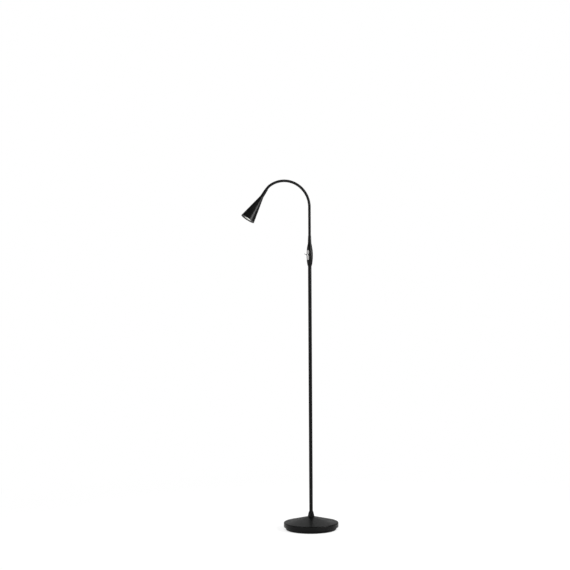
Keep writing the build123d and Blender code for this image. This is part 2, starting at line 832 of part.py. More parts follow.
# Light in the mouth, stacked inwards from the ring's face
ring_face = shade_end - mouth_recess
ring_back = ring_face - ring_thickness
lens_back = ring_back - lens_flange
board_face = lens_back - reflector_depth
board_back = board_face - board_thickness
sink_back = board_back - sink_length
ring_radius = shade_inside(ring_back) - loose_gap
lens_radius = ring_opening_radius + 2 * lens_flange
skirt_end = ring_back - ring_skirt
with BuildPart() as lens_ring:
    with BuildSketch(head_plane):
        with BuildLine():
            Polyline(
                (ring_opening_radius, ring_face),
                (ring_radius, ring_face),
                (ring_radius, ring_back),
                (shade_inside(skirt_end) - loose_gap, skirt_end),
                (shade_inside(skirt_end) - loose_gap - ring_skirt_wall, skirt_end),
                (ring_radius - ring_skirt_wall - loose_gap, ring_back),
                (ring_opening_radius, ring_back),
                close=True,
            )
        make_face()
    revolve(axis=head_axis)
save(lens_ring.part, "lens_ring")

lens_edge = ring_opening_radius - turned_gap
lens_front = lens_back + lens_thickness
lens_curve = (lens_edge**2 + lens_dome**2) / (2 * lens_dome)
with BuildPart() as lens:
    with BuildSketch(head_plane):
        with BuildLine():
            RadiusArc((0, lens_front + lens_dome), (lens_edge, lens_front), lens_curve)
            Polyline(
                (lens_edge, lens_front),
                (lens_edge, ring_back),
                (lens_radius, ring_back),
                (lens_radius, lens_back),
                (0, lens_back),
                (0, lens_front + lens_dome),
            )
        make_face()
    revolve(axis=head_axis)
save(lens.part, "lens")

reflector_mouth = lens_radius - reflector_wall
reflector_throat = chip_radius + loose_gap
with BuildPart() as reflector:
    with BuildSketch(head_plane):
        with BuildLine():
            Polyline(
                (reflector_throat, board_face),
                (reflector_mouth, lens_back),
                (reflector_mouth + reflector_wall, lens_back),
                (reflector_throat + reflector_wall, board_face),
                close=True,
            )
        make_face()
    revolve(axis=head_axis)
save(reflector.part, "reflector")

with BuildPart() as led_chip:
    with BuildSketch(head_station(board_face)):
        Circle(chip_radius)
    extrude(amount=chip_thickness)
save(led_chip.part, "led_chip")

with BuildPart() as led_board:
    with BuildSketch(head_station(board_back)):
        Circle(board_radius)
        with Locations((board_screw_spread, 0), (-board_screw_spread, 0)):
            Circle(board_screw_radius + turned_gap, mode=Mode.SUBTRACT)
    extrude(amount=board_thickness)
save(led_board.part, "led_board")

with BuildPart() as board_screws:
    with BuildSketch(head_station(board_face)):
        with Locations((board_screw_spread, 0), (-board_screw_spread, 0)):
            Circle(board_screw_head_radius)
    extrude(amount=board_screw_head)
    with BuildSketch(head_station(board_face)):
        with Locations((board_screw_spread, 0), (-board_screw_spread, 0)):
            Circle(board_screw_radius)
    extrude(amount=-board_thickness - board_screw_bite)
    with BuildSketch(head_station(board_face + board_screw_head)):
        with Locations((board_screw_spread, 0), (-board_screw_spread, 0)):
            RegularPolygon(board_screw_radius, 6)
    extrude(amount=-board_screw_head / 2, mode=Mode.SUBTRACT)
save(board_screws.part, "board_screws")

with BuildPart() as heat_sink:
    with BuildSketch(head_plane):
        with BuildLine():
            Polyline(
                (stud_bore + loose_gap, sink_back),
                (shade_inside(sink_back) - loose_gap, sink_back),
                (shade_inside(board_back) - loose_gap, board_back),
                (stud_bore + loose_gap, board_back),
                close=True,
            )
        make_face()
    revolve(axis=head_axis)
    fin_count = int((sink_length - board_screw_bite - sink_fin_pitch) / sink_fin_pitch)
    for fin in range(fin_count):
        groove = sink_back + sink_fin_pitch / 2 + fin * sink_fin_pitch
        with BuildSketch(head_station(groove)):
            Circle(shade_mouth_radius)
            Circle(sink_core_radius, mode=Mode.SUBTRACT)
        extrude(amount=sink_fin_groove, mode=Mode.SUBTRACT)
    with BuildSketch(head_station(board_back)):
        with Locations((board_screw_spread, 0), (-board_screw_spread, 0)):
            Circle(board_screw_radius + press_gap)
    extrude(amount=-board_screw_bite - loose_gap, mode=Mode.SUBTRACT)
save(heat_sink.part, "heat_sink")

with BuildPart() as head_lead:
    with BuildSketch(head_station(neck_insert)):
        Circle(lead_radius)
    extrude(amount=board_back - neck_insert)
save(head_lead.part, "head_lead")
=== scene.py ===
import json
import bpy
import numpy as np
from mathutils import Matrix

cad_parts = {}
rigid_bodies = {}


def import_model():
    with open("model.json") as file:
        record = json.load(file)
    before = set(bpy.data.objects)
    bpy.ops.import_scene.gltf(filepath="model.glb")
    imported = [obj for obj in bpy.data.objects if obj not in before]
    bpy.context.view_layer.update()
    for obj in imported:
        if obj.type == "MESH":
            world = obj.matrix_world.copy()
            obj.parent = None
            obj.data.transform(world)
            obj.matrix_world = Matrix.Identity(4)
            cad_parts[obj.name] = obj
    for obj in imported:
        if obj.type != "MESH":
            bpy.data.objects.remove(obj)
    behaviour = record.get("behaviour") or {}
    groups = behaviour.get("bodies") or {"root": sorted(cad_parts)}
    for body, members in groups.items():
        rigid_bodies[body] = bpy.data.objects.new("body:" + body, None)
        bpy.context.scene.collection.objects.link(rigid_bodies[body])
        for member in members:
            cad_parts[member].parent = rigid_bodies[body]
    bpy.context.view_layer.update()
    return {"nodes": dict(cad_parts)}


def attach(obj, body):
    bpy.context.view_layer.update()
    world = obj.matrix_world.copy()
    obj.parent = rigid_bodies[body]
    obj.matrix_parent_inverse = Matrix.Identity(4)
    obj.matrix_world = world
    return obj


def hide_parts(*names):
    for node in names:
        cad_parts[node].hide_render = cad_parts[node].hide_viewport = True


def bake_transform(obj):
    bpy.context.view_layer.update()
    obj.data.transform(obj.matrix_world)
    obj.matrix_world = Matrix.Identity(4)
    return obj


for old in list(bpy.data.objects):  # start-up objects would count as pieces
    bpy.data.objects.remove(old)
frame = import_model()
mm = 0.001
upright = np.array([0.0, 0.0, 1.0])


# camera: level, a little left of the pole, with the photograph's slight roll
photoView = {
    "turn": -17.0,  # degrees round the pole, 0 looks along +Y
    "distance": 4.731,
    "height": 0.894,
    "left": 0.0909,
    "focal": 1292.6,  # in pixels of the 570 wide picture
    "picture": 570,
    "roll": 0.0055,
    "sensor": 36.0,
    "clip": (0.05, 60.0),
}


def unit(vectors):
    return vectors / np.linalg.norm(vectors, axis=-1, keepdims=True)


def fullTurn(count):
    return np.linspace(0.0, 2 * np.pi, count, endpoint=False)[None, :]


def makeCamera(view):
    turn = np.radians(view["turn"])
    ahead = np.array([-np.sin(turn), np.cos(turn), 0.0])
    side = np.array([np.cos(turn), np.sin(turn), 0.0])
    place = -ahead * view["distance"] - side * view["left"] + upright * view["height"]
    right = side * np.cos(view["roll"]) - upright * np.sin(view["roll"])
    top = upright * np.cos(view["roll"]) + side * np.sin(view["roll"])
    data = bpy.data.cameras.new("photoCamera")
    data.sensor_width = view["sensor"]
    data.lens = data.sensor_width * view["focal"] / view["picture"]
    data.clip_start, data.clip_end = view["clip"]
    camera = bpy.data.objects.new("photoCamera", data)
    bpy.context.scene.collection.objects.link(camera)
    axes = np.eye(4)
    axes[:3, :] = np.stack([right, top, -ahead, place], 1)
    camera.matrix_world = Matrix(axes.tolist())
    bpy.context.scene.camera = camera
    return ahead, side


viewAhead, viewSide = makeCamera(photoView)
bpy.context.scene.view_settings.view_transform = "Standard"
print("camera: lens", round(bpy.context.scene.camera.data.lens, 2), "mm")


# shader graphs
class Wire:
    # one output socket; each operator adds a Math node
    def __init__(self, graph, socket):
        self.graph, self.socket = graph, socket

    def math(self, operation, *terms):
        return self.graph.add("ShaderNodeMath", {"operation": operation}, dict(enumerate(terms)))

    def __add__(self, other):
        return self.math("ADD", self, other)

    def __radd__(self, other):
        return self.math("ADD", other, self)

    def __sub__(self, other):
        return self.math("SUBTRACT", self, other)

    def __rsub__(self, other):
        return self.math("SUBTRACT", other, self)

    def __mul__(self, other):
        return self.math("MULTIPLY", self, other)

    def __rmul__(self, other):
        return self.math("MULTIPLY", other, self)

    def __truediv__(self, other):
        return self.math("DIVIDE", self, other)

    def clip(self, low=0.0, high=1.0):
        return self.math("MINIMUM", self.math("MAXIMUM", self, low), high)


class Graph:
    # a node tree, filled by one method
    def __init__(self, tree):
        self.tree = tree
        tree.nodes.clear()

    def add(self, kind, settings=None, sockets=None, output=0):
        node = self.tree.nodes.new(kind)
        for key, value in (settings or {}).items():
            setattr(node, key, value)
        for key, value in (sockets or {}).items():
            if isinstance(value, Wire):
                self.tree.links.new(value.socket, node.inputs[key])
            else:
                node.inputs[key].default_value = value
        return Wire(self, node.outputs[output]) if node.outputs else None

    def place(self):
        return self.add("ShaderNodeTexCoord", output="Object")

    def stretched(self, scale):
        return self.add("ShaderNodeMapping", None, {"Vector": self.place(), "Scale": scale})

    def noise(self, size, detail, vector=None):
        sockets = {"Vector": vector or self.place(), "Scale": 1.0 / size, "Detail": detail, "Roughness": 0.55}
        return self.add("ShaderNodeTexNoise", None, sockets)

    def tint(self, share, first, second):
        return self.add("ShaderNodeMix", {"data_type": "RGBA"}, {0: share, 6: first, 7: second}, 2)

    def bump(self, height, depth, strength):
        return self.add("ShaderNodeBump", None, {"Height": height, "Distance": depth, "Strength": strength})

    def seen(self):
        # rays that show the pale surround: from the camera, from gloss and through glass
        camera, gloss, through = (
            self.add("ShaderNodeLightPath", output=f"Is {kind} Ray") for kind in ("Camera", "Glossy", "Transmission")
        )
        return (camera + gloss + through).clip()


def surfaceGraph(name):
    material = bpy.data.materials.new(name)
    material.use_nodes = True
    return material, Graph(material.node_tree)


def closeSurface(graph, **sockets):
    named = {key.replace("_", " "): value for key, value in sockets.items()}
    shader = graph.add("ShaderNodeBsdfPrincipled", None, named)
    graph.add("ShaderNodeOutputMaterial", None, {"Surface": shader})


def grey(level, warm=0.0):
    return (level * (1 + warm), level, level * (1 - warm), 1.0)


# shares of the noises in every finish
noiseShares = {
    "cloudSpread": 1.6,  # widens the clouds, so that they reach both colours
    "grainInColour": 0.5,
    "grainInGloss": 0.5,
    "grainInBump": 0.45,
    "peelSize": 5.0,  # size of the paint's waves against its grain
    "linesInColour": 0.6,
    "cloudInGloss": 0.6,
    "gloss": (0.03, 1.0),  # least and most roughness
}


# skin that is painted, powder coated or moulded: slow clouds in colour and gloss, fine grain in the bump
def skinFinish(name, look):
    material, graph = surfaceGraph(name)
    cloud = graph.noise(look["cloud"], 3.0)
    grain = graph.noise(look["grain"], 2.0)
    peel = graph.noise(look["grain"] * noiseShares["peelSize"], 1.0)
    spread = cloud * noiseShares["cloudSpread"] - (noiseShares["cloudSpread"] - 1) / 2
    colour = graph.tint((spread + (grain - 0.5) * noiseShares["grainInColour"]).clip(), look["dark"], look["light"])
    gloss = (cloud - 0.5) + (grain - 0.5) * noiseShares["grainInGloss"]
    rough = look["rough"] + gloss * look["swing"]
    waves = grain * noiseShares["grainInBump"] + peel * (1 - noiseShares["grainInBump"])
    height = graph.bump(waves, look["depth"], look["strength"])
    closeSurface(
        graph, Base_Color=colour, Roughness=rough.clip(*noiseShares["gloss"]), Normal=height,
        IOR=look.get("ior", 1.5), Metallic=0.0,
    )
    return material


# bare or plated metal: noise squeezed along one axis gives the brushing or turning lines
def metalFinish(name, look):
    material, graph = surfaceGraph(name)
    lines = graph.noise(look["line"], 3.0, graph.stretched(look["squeeze"]))
    cloud = graph.noise(look["cloud"], 3.0)
    shade = lines * noiseShares["linesInColour"] + cloud * (1 - noiseShares["linesInColour"])
    colour = graph.tint(shade.clip(), look["dark"], look["light"])
    gloss = (lines - 0.5) + (cloud - 0.5) * noiseShares["cloudInGloss"]
    rough = look["rough"] + gloss * look["swing"]
    height = graph.bump(lines, look["depth"], look["strength"])
    closeSurface(graph, Base_Color=colour, Roughness=rough.clip(*noiseShares["gloss"]), Metallic=1.0, Normal=height)
    return material


skinLooks = {
    "black_paint": dict(dark=grey(0.0025), light=grey(0.0055), rough=0.35, swing=0.07, cloud=0.06,
                        grain=0.0006, depth=0.00002, strength=0.25, ior=1.20),
    "neck_sleeve": dict(dark=grey(0.0025), light=grey(0.0055), rough=0.40, swing=0.10, cloud=0.02,
                        grain=0.0005, depth=0.00005, strength=0.35, ior=1.20),
    "black_plastic": dict(dark=grey(0.0025), light=grey(0.0055), rough=0.45, swing=0.12, cloud=0.03,
                          grain=0.0008, depth=0.00010, strength=0.5, ior=1.18),
    "gloss_black": dict(dark=grey(0.030), light=grey(0.045), rough=0.24, swing=0.06, cloud=0.01,
                        grain=0.0005, depth=0.00002, strength=0.3, ior=1.45),
    "rubber": dict(dark=grey(0.010), light=grey(0.020), rough=0.62, swing=0.15, cloud=0.006,
                   grain=0.0004, depth=0.00010, strength=0.6),
    "foam_pad": dict(dark=grey(0.016), light=grey(0.045), rough=0.92, swing=0.10, cloud=0.008,
                     grain=0.0009, depth=0.00040, strength=0.9),
    "iron": dict(dark=(0.115, 0.105, 0.098, 1.0), light=(0.200, 0.188, 0.178, 1.0), rough=0.70, swing=0.25,
                 cloud=0.020, grain=0.0012, depth=0.00040, strength=0.8),
    "board_white": dict(dark=grey(0.70, 0.01), light=grey(0.82, 0.01), rough=0.42, swing=0.10, cloud=0.006,
                        grain=0.0005, depth=0.00003, strength=0.3),
    "white_plastic": dict(dark=grey(0.62, 0.02), light=grey(0.76, 0.02), rough=0.40, swing=0.12, cloud=0.015,
                          grain=0.0007, depth=0.00008, strength=0.5),
    "switch_case": dict(dark=(0.040, 0.100, 0.310, 1.0), light=(0.060, 0.135, 0.390, 1.0), rough=0.45, swing=0.12,
                        cloud=0.006, grain=0.0004, depth=0.00004, strength=0.4),
    "cable_jacket": dict(dark=grey(0.022), light=grey(0.038), rough=0.50, swing=0.12, cloud=0.010,
                         grain=0.0005, depth=0.00004, strength=0.4),
}
metalLooks = {
    "zinc_steel": dict(dark=(0.42, 0.43, 0.45, 1.0), light=(0.62, 0.63, 0.64, 1.0), rough=0.36, swing=0.18,
                       cloud=0.004, line=0.0008, squeeze=(1.0, 1.0, 0.15), depth=0.00002, strength=0.4),
    "black_steel": dict(dark=grey(0.020), light=grey(0.050), rough=0.42, swing=0.20, cloud=0.002,
                        line=0.0004, squeeze=(1.0, 1.0, 0.3), depth=0.00002, strength=0.4),
    "brass": dict(dark=(0.62, 0.42, 0.16, 1.0), light=(0.80, 0.60, 0.28, 1.0), rough=0.32, swing=0.15, cloud=0.004,
                  line=0.0006, squeeze=(1.0, 1.0, 6.0), depth=0.00002, strength=0.4),
    "silver_plate": dict(dark=grey(0.46, 0.012), light=grey(0.62, 0.012), rough=0.36, swing=0.16, cloud=0.010,
                         line=0.0004, squeeze=(1.0, 1.0, 0.02), depth=0.00001, strength=0.4),
    "bright_metal": dict(dark=grey(0.34, 0.006), light=grey(0.46, 0.006), rough=0.20, swing=0.10, cloud=0.003,
                         line=0.0005, squeeze=(1.0, 1.0, 1.0), depth=0.00001, strength=0.25),
    "aluminium": dict(dark=(0.56, 0.57, 0.58, 1.0), light=(0.74, 0.75, 0.76, 1.0), rough=0.38, swing=0.16,
                      cloud=0.008, line=0.0006, squeeze=(1.0, 1.0, 1.0), depth=0.00003, strength=0.4),
}
finishes = {name: skinFinish(name + "Finish", look) for name, look in skinLooks.items()}
finishes.update({name: metalFinish(name + "Finish", look) for name, look in metalLooks.items()})


# shape of the neck's centreline, in metres: upright, then a wide arc and a tighter one, then straight
neck = {
    "foot": 1074.4 * mm,
    "rise": 104.0 * mm,
    "archRadius": 94.6 * mm,
    "archTurn": np.radians(124.5),
    "tipRadius": 54.0 * mm,
    "tipTurn": np.radians(22.0),
    "joints": 14,
    "radius": 4.9 * mm,
    "ribPitch": 2.9 * mm,
    "ribDepth": 0.36 * mm,
    "ribRound": 0.45,  # smaller makes flatter crests and sharper grooves
    "around": 56,
    "perRib": 9,
    "inSocket": 7.0 * mm,
    "blendGap": 0.3 * mm,
}
archLength = neck["archRadius"] * neck["archTurn"]
tipLength = neck["tipRadius"] * neck["tipTurn"]
neckLength = neck["rise"] + archLength + tipLength


def neckTurn(along):
    # turn from upright: distance on each arc divided by that arc's radius
    onArch = np.clip(along - neck["rise"], 0.0, archLength) / neck["archRadius"]
    onTip = np.clip(along - neck["rise"] - archLength, 0.0, tipLength) / neck["tipRadius"]
    return onArch + onTip


def neckPoint(along):
    # upright run, plus the arch's chord, plus the tip's chord, plus a straight end
    turn = neckTurn(along)
    onArch = np.minimum(turn, neck["archTurn"])
    onTip = np.maximum(turn, neck["archTurn"])
    beyond = np.maximum(along - neckLength, 0.0)
    x = -neck["archRadius"] * (1 - np.cos(onArch)) - neck["tipRadius"] * (np.cos(neck["archTurn"]) - np.cos(onTip))
    z = neck["archRadius"] * np.sin(onArch) + neck["tipRadius"] * (np.sin(onTip) - np.sin(neck["archTurn"]))
    z = z + neck["foot"] + np.minimum(along, neck["rise"])
    return np.stack([x - beyond * np.sin(turn), np.zeros_like(x), z + beyond * np.cos(turn)], -1)


headStart = neckPoint(np.array(neckLength))
headTurn = float(neckTurn(np.array(neckLength)))
headLine = np.array([-np.sin(headTurn), 0.0, np.cos(headTurn)])


# meshes
weld = {"digits": 8, "leastArea": 1e-15}


def meshPiece(name, points, quads, flats):
    # points that lie together become one; a normal is the sum of the quads' area vectors round it, so large faces
    # stay flat beside small rounds, and the flat triangles keep their own normals
    points, place = np.unique(np.round(points, weld["digits"]), axis=0, return_inverse=True)
    quads, flats = place.ravel()[quads], place.ravel()[flats]
    area = np.cross(points[quads[:, 2]] - points[quads[:, 0]], points[quads[:, 3]] - points[quads[:, 1]])
    flatArea = np.cross(points[flats[:, 1]] - points[flats[:, 0]], points[flats[:, 2]] - points[flats[:, 0]])
    normals = np.zeros_like(points)
    np.add.at(normals, quads.ravel(), np.repeat(area, 4, 0))
    corners = np.vstack([normals[quads.ravel()], np.repeat(flatArea, 3, 0)])
    corners /= np.maximum(np.linalg.norm(corners, axis=1, keepdims=True), weld["leastArea"])
    mesh = bpy.data.meshes.new(name)
    mesh.from_pydata(points.tolist(), [], quads.tolist() + flats.tolist())
    mesh.shade_smooth()
    mesh.normals_split_custom_set(corners.tolist())
    piece = bpy.data.objects.new(name, mesh)
    bpy.context.scene.collection.objects.link(piece)
    return piece


def gridQuads(index):
    # each quad joins a grid point with its neighbours in the next column and the next row
    return np.stack([index[:-1, :-1], index[:-1, 1:], index[1:, 1:], index[1:, :-1]], -1).reshape(-1, 4)


def surfacePiece(name, grid, ringClosed=False, caps=(False, False)):
    # rows x columns grid whose columns run round; a cap is a fan of triangles to the ring's middle
    rows, columns = grid.shape[:2]
    index = np.arange(rows * columns).reshape(rows, columns)
    loop = np.vstack([index, index[:1]]) if ringClosed else index
    points = [grid.reshape(-1, 3)]
    fans = np.zeros((0, 3), int)
    for wanted, row, step in ((caps[0], 0, -1), (caps[1], -1, 1)):
        if wanted:
            ring = index[row][::step]
            hub = np.full(columns, rows * columns + len(points) - 1)
            fans = np.vstack([fans, np.stack([hub, ring, np.roll(ring, -1)], -1)])
            points.append(grid[row].mean(0, keepdims=True))
    return meshPiece(name, np.concatenate(points), gridQuads(np.hstack([loop, loop[:, :1]])), fans)


def dress(piece, slot, *nodes):
    piece.data.materials.append(finishes[slot])
    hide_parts(*nodes)
    return piece


# neck: radius falls from its crest into a groove along one helix, r = R - depth * (1 - |sin(pi * u)|^ribRound),
# u = distance / pitch - angle / full turn; the ring is carried along the centreline
def neckGrid(start, stop):
    rows = int(round((stop - start) / neck["ribPitch"] * neck["perRib"])) + 1
    along = np.linspace(start, stop, rows)[:, None]
    angle = fullTurn(neck["around"])
    groove = 1 - np.abs(np.sin(np.pi * (along / neck["ribPitch"] - angle / (2 * np.pi)))) ** neck["ribRound"]
    radius = (neck["radius"] - neck["ribDepth"] * groove)[..., None]
    turn = neckTurn(along)
    acrossBend = np.stack([np.cos(turn), np.zeros_like(turn), np.sin(turn)], -1)
    sideways = np.array([0.0, 1.0, 0.0])
    angle = angle[..., None]
    return neckPoint(along) + radius * (acrossBend * np.cos(angle) + sideways * np.sin(angle))


def makeNeck():
    spacing = neckLength / neck["joints"]
    for number in range(1, neck["joints"] + 1):
        first, last = number == 1, number == neck["joints"]
        start = -neck["inSocket"] if first else (number - 1) * spacing
        stop = neckLength + neck["inSocket"] if last else number * spacing
        piece = surfacePiece(f"neckSleeve_{number:02d}", neckGrid(start, stop), caps=(True, True))
        dress(piece, "neck_sleeve", f"neck_link_{number - 1:02d}", f"neck_link_{number:02d}")
        # end points short of each sleeve's end rings by their tilt are worked out here, but nothing uses them
        span = np.array([number - 1, number]) * spacing
        tilt = neck["radius"] * np.sin(np.ptp(neckTurn(span)) / 2)
        ends = neckPoint(span + (tilt + neck["blendGap"]) * np.array([1, -1]))
        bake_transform(piece)


makeNeck()


# outline of a turned piece: corners in (radius, height), anticlockwise, each rounded by its own radius
def roundedOutline(corners, rounds, steps=7):
    # arc of a corner: its middle lies on the bisector at round / sin(half angle), swept evenly between the two sides
    corner = np.array(corners, float)
    before = unit(np.roll(corner, 1, 0) - corner)
    after = unit(np.roll(corner, -1, 0) - corner)
    half = np.arccos((before * after).sum(1))[:, None] / 2
    size = np.array(rounds, float)[:, None]
    middle = corner + unit(before + after) * size / np.sin(half)
    first = corner + before * size / np.tan(half) - middle
    last = corner + after * size / np.tan(half) - middle
    sweep = np.pi - 2 * half
    share = np.linspace(0.0, 1.0, steps)[None, :]
    fromFirst = (np.sin((1 - share) * sweep) / np.sin(sweep))[..., None]
    fromLast = (np.sin(share * sweep) / np.sin(sweep))[..., None]
    return (middle[:, None] + fromFirst * first[:, None] + fromLast * last[:, None]).reshape(-1, 2) * mm


def aroundLine(radius, height, start, line, angle):
    # point at a height along a line and a radius from it, turned by an angle about it
    line = unit(line)
    side = unit(np.cross([0.0, 1.0, 0.0], line))
    radius, height, angle = radius[..., None], height[..., None], angle[..., None]
    return start + line * height + radius * (side * np.cos(angle) + np.cross(line, side) * np.sin(angle))


def turnedPiece(name, corners, rounds, start, line, around):
    # every outline point runs round the line on a circle
    outline = roundedOutline(corners, rounds)
    grid = aroundLine(outline[:, :1], outline[:, 1:], start, line, fullTurn(around))
    return surfacePiece(name, grid, ringClosed=True)


# turned pieces: sizes in mm, heights along each piece's own line, from the floor or from the neck's end
fittings = {
    "footCollar": dict(
        node="foot_collar", body="base", slot="black_paint", foot=46.9, around=96,
        corners=[(6.6, 0.0), (12.2, 0.0), (9.1, 15.4), (6.85, 19.5), (6.6, 19.5)],
        rounds=[0.1, 0.35, 3.6, 0.1, 0.1],
    ),
    "neckSocket": dict(
        node="neck_socket", body="base", slot="black_paint", foot=1044.9, around=72,
        corners=[(3.6, 0.0), (6.7, 0.0), (5.45, 29.5), (5.0, 29.5), (5.0, 5.5), (3.6, 5.5)],
        rounds=[0.1, 0.25, 0.2, 0.15, 0.1, 0.1],
    ),
    "shadeFerrule": dict(
        node="shade_ferrule", body="head", slot="black_paint", foot=0.0, around=72,
        corners=[(5.0, 0.0), (5.6, 0.0), (6.6, 33.7), (3.6, 33.7), (3.6, 24.0), (5.0, 24.0)],
        rounds=[0.15, 0.25, 0.12, 0.1, 0.1, 0.1],
    ),
    "shadeCone": dict(
        node="shade", body="head", slot="black_paint", foot=0.0, around=160,
        corners=[(3.6, 33.7), (6.6, 33.7), (26.9, 130.7), (25.67, 130.7), (7.47, 43.7), (3.6, 43.7)],
        rounds=[0.1, 0.12, 0.5, 0.5, 0.15, 0.1],
    ),
    "lensRing": dict(
        node="lens_ring", body="head", slot="gloss_black", foot=0.0, around=160,
        corners=[(22.96, 124.9), (24.16, 124.9), (24.79, 127.9), (24.79, 129.5), (12.6, 129.5), (12.6, 127.9),
                 (23.29, 127.9)],
        rounds=[0.1, 0.1, 0.1, 0.35, 0.4, 0.1, 0.1],
    ),
}


def makeFittings():
    for name, part in fittings.items():
        onHead = part["body"] == "head"
        start, line = (headStart, headLine) if onHead else (np.zeros(3), upright)
        start = start + line * part["foot"] * mm
        piece = turnedPiece(name, part["corners"], part["rounds"], start, line, part["around"])
        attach(dress(piece, part["slot"], part["node"]), part["body"])


makeFittings()
print("fittings: made", len(fittings))


# base cover: a cone with a rounded rim, hollow below, and a round hole through the rim for the grommet; sizes in mm
cover = {
    "corners": [(5.55, 45.36), (13.0, 45.36), (98.5, 24.52), (98.5, 10.3), (100.0, 10.3), (100.0, 25.7),
                (13.0, 46.9), (5.55, 46.9)],
    "rounds": [0.1, 0.2, 2.0, 0.1, 0.6, 3.5, 0.3, 0.1],
    "steps": 9,
    "outerWall": (100.0, 5),  # radius of the rim's outer wall, and the corner that follows it
    "innerWall": (98.5, 3),
    "rimFrom": 98.0,  # the hole parts only what lies beyond this radius
    "holeHeight": 16.1,
    "holeRadius": 4.3,
    "holeRows": 25,
    "leastTurn": 1e-6,
    "around": 240,
}


def makeCover():
    # an outline point turns from half = arcsin(width of the hole at its height / radius) round to full turn - half,
    # so the seam parts into the hole, whose wall joins the outer and inner edges level by level
    outline = roundedOutline(cover["corners"], cover["rounds"], cover["steps"])
    rise = np.sin(np.linspace(-np.pi / 2, np.pi / 2, cover["holeRows"]))
    level = (cover["holeHeight"] + cover["holeRadius"] * rise) * mm
    (outerRadius, outerCorner), (innerRadius, innerCorner) = cover["outerWall"], cover["innerWall"]
    outerStart, innerStart = outerCorner * cover["steps"], innerCorner * cover["steps"]
    outline = np.insert(outline, outerStart, np.stack([np.full_like(level, outerRadius * mm), level], -1), 0)
    outline = np.insert(outline, innerStart, np.stack([np.full_like(level, innerRadius * mm), level[::-1]], -1), 0)
    radius, height = outline[:, :1], outline[:, 1:]
    width = np.sqrt(np.maximum((cover["holeRadius"] * mm) ** 2 - (height - cover["holeHeight"] * mm) ** 2, 0.0))
    half = np.where(radius > cover["rimFrom"] * mm, np.arcsin(np.minimum(width / radius, 1.0)), 0.0)
    half = np.where(half < cover["leastTurn"], 0.0, half)
    share = np.linspace(0.0, 1.0, cover["around"] + 1)[None, :]
    angle = half + share * (2 * np.pi - 2 * half)
    spread = np.ones_like(angle)
    grid = aroundLine(radius * spread, height * spread, np.zeros(3), upright, angle)
    index = np.arange(angle.size).reshape(angle.shape)
    quads = gridQuads(np.vstack([index, index[:1]]))
    inner = index[innerStart:innerStart + cover["holeRows"]][::-1]
    outerStart += cover["holeRows"]
    outer = index[outerStart:outerStart + cover["holeRows"]]
    wall = np.vstack([
        gridQuads(np.stack([inner[:, 0], outer[:, 0]], -1)),
        gridQuads(np.stack([outer[:, -1], inner[:, -1]], -1)),
    ])
    flats = np.vstack([wall[:, [0, 1, 2]], wall[:, [0, 2, 3]]])
    piece = meshPiece("baseCover", grid.reshape(-1, 3), quads, flats)
    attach(dress(piece, "black_paint", "base_cover"), "base")


makeCover()
print("base cover: made")


# toggle switch: threaded bushing, hexagon nut with a turned bevel and a lever that swells towards its tip
toggle = {
    "turn": np.radians(17.0),
    "level": 1003.5 * mm,
    "seat": 7.2 * mm,
    "face": 8.2 * mm,
    "bushingEnd": 13.4 * mm,
    "bushingRadius": 3.0 * mm,
    "bore": 2.2 * mm,
    "mouth": 2.65 * mm,
    "threadPitch": 0.62 * mm,
    "threadDepth": 0.24 * mm,
    "threadEnding": 0.5 * mm,
    "endingDepth": 0.26 * mm,
    "bushingRows": 96,
    "bushingAround": 48,
    "nutAcross": 8.0 * mm,
    "nutHeight": 1.8 * mm,
    "nutBore": 3.05 * mm,
    "nutChamfer": 0.3 * mm,
    "bevelFrom": 0.96,  # share of the apothem where the bevel starts
    "bevelSlope": 1.75,
    "footBevel": 3.0,  # how much steeper the bevel is at the plate
    "nutRows": 24,
    "nutAround": 144,
    "pivot": 9.6 * mm,
    "ball": 2.0 * mm,
    "leverTilt": np.radians(15.0),
    "leverLength": 14.2 * mm,
    "leverWaist": 1.05 * mm,
    "leverTip": 1.6 * mm,
    "tail": 4.6 * mm,
    "tailRadius": 0.9 * mm,
    "leverRows": 90,
    "tipRows": 20,
    "tipShare": 0.999,  # the tip stops short of its pole, where a small cap closes it
    "leverAround": 40,
}
toggleOut = np.array([-np.cos(toggle["turn"]), -np.sin(toggle["turn"]), 0.0])
toggleStart = upright * toggle["level"]


def joinedGrid(angle, outside, height, inner):
    # rows of the outside, then the inner outline's points, each run round the toggle's line
    columns = angle.shape[1]
    radius = np.vstack([outside, np.repeat(inner[:, :1], columns, 1)])
    height = np.vstack([np.repeat(height, columns, 1), np.repeat(inner[:, 1:], columns, 1)])
    return aroundLine(radius, height, toggleStart, toggleOut, np.repeat(angle, len(radius), 0))


def bushingGrid():
    # outside: radius less depth * triangle wave of (height / pitch - angle / full turn), drawn in towards the end;
    # inside: the mouth's cone down to the ball, then the plain bore
    seat, end, bore = toggle["seat"], toggle["bushingEnd"], toggle["bore"]
    angle = fullTurn(toggle["bushingAround"])
    height = np.linspace(seat, end, toggle["bushingRows"])[:, None]
    thread = np.abs(2 * ((height / toggle["threadPitch"] - angle / (2 * np.pi)) % 1.0) - 1)
    ending = np.clip((height - end + toggle["threadEnding"]) / toggle["threadEnding"], 0.0, 1.0)
    cut = np.maximum(toggle["threadDepth"] * thread, ending * toggle["endingDepth"])
    inner = np.array([[toggle["mouth"], end], [bore, toggle["pivot"]], [bore, seat]])
    return joinedGrid(angle, toggle["bushingRadius"] - cut, height, inner)


